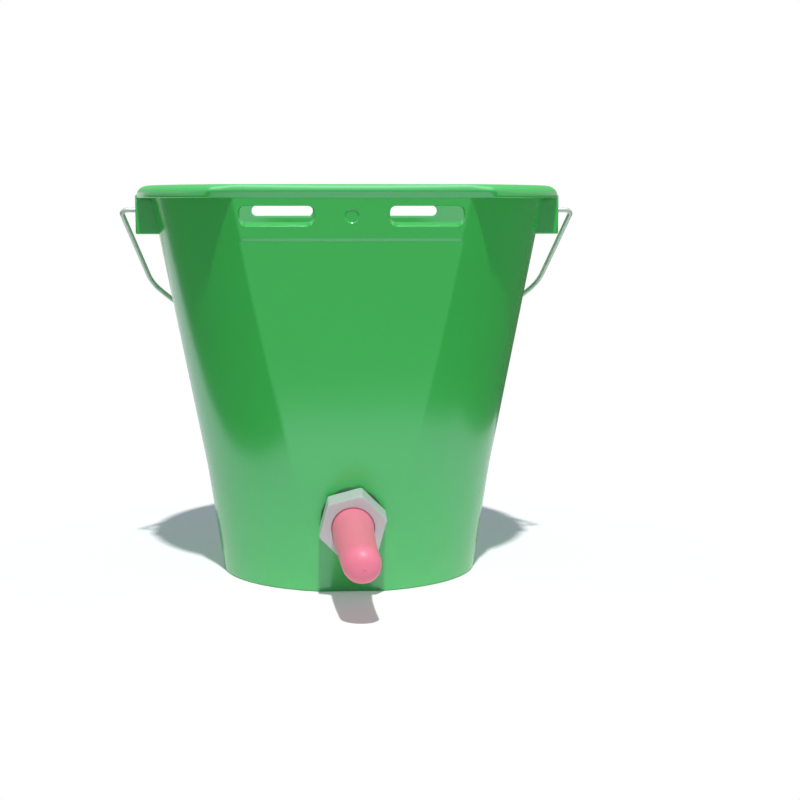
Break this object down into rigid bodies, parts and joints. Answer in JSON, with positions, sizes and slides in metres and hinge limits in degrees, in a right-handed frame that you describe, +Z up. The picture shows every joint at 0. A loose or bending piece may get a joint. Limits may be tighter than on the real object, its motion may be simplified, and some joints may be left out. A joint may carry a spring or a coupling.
{
  "type": "teat feeding bucket",
  "caption": "Moulded bucket with a flat front, hanging slots and a wire bail, fed through a rubber teat with a suction valve low on the front.",
  "frame": {"origin": "middle of the base on the floor, on the axis of the round wall", "axes": "+Z up; the flat front and the teat face -Y; the bail's ears stand at +X and -X and its pivot line runs along X"},
  "size_m": [0.3192, 0.3364, 0.27],
  "materials": {
    "bucket": "glossy moulded polypropylene",
    "wire": "galvanised",
    "teat": "smooth soft rubber",
    "nut": "satin moulded",
    "gasket": "matt rubber",
    "valve": "satin moulded",
    "ball": "smooth moulded"
  },
  "bodies": {
    "bucket": {"bucket_shell": "bucket", "teat": "teat", "union_nut": "nut", "outer_gasket": "gasket", "inner_gasket": "gasket", "valve_body": "valve", "valve_seat": "valve"},
    "bail": {"bail_wire": "wire"},
    "ball": {"check_ball": "ball"}
  },
  "joints": [
    {"name": "bail_swing", "type": "hinge", "parent": "bucket", "child": "bail", "pos_m": [0, 0, 0.2533], "axis": [1, 0, 0], "range_deg": [0, 270]},
    {"name": "ball_lift", "type": "slide", "parent": "bucket", "child": "ball", "axis": [0, -0.0995, 0.995], "range_m": [0, 0.004]}
  ]
}
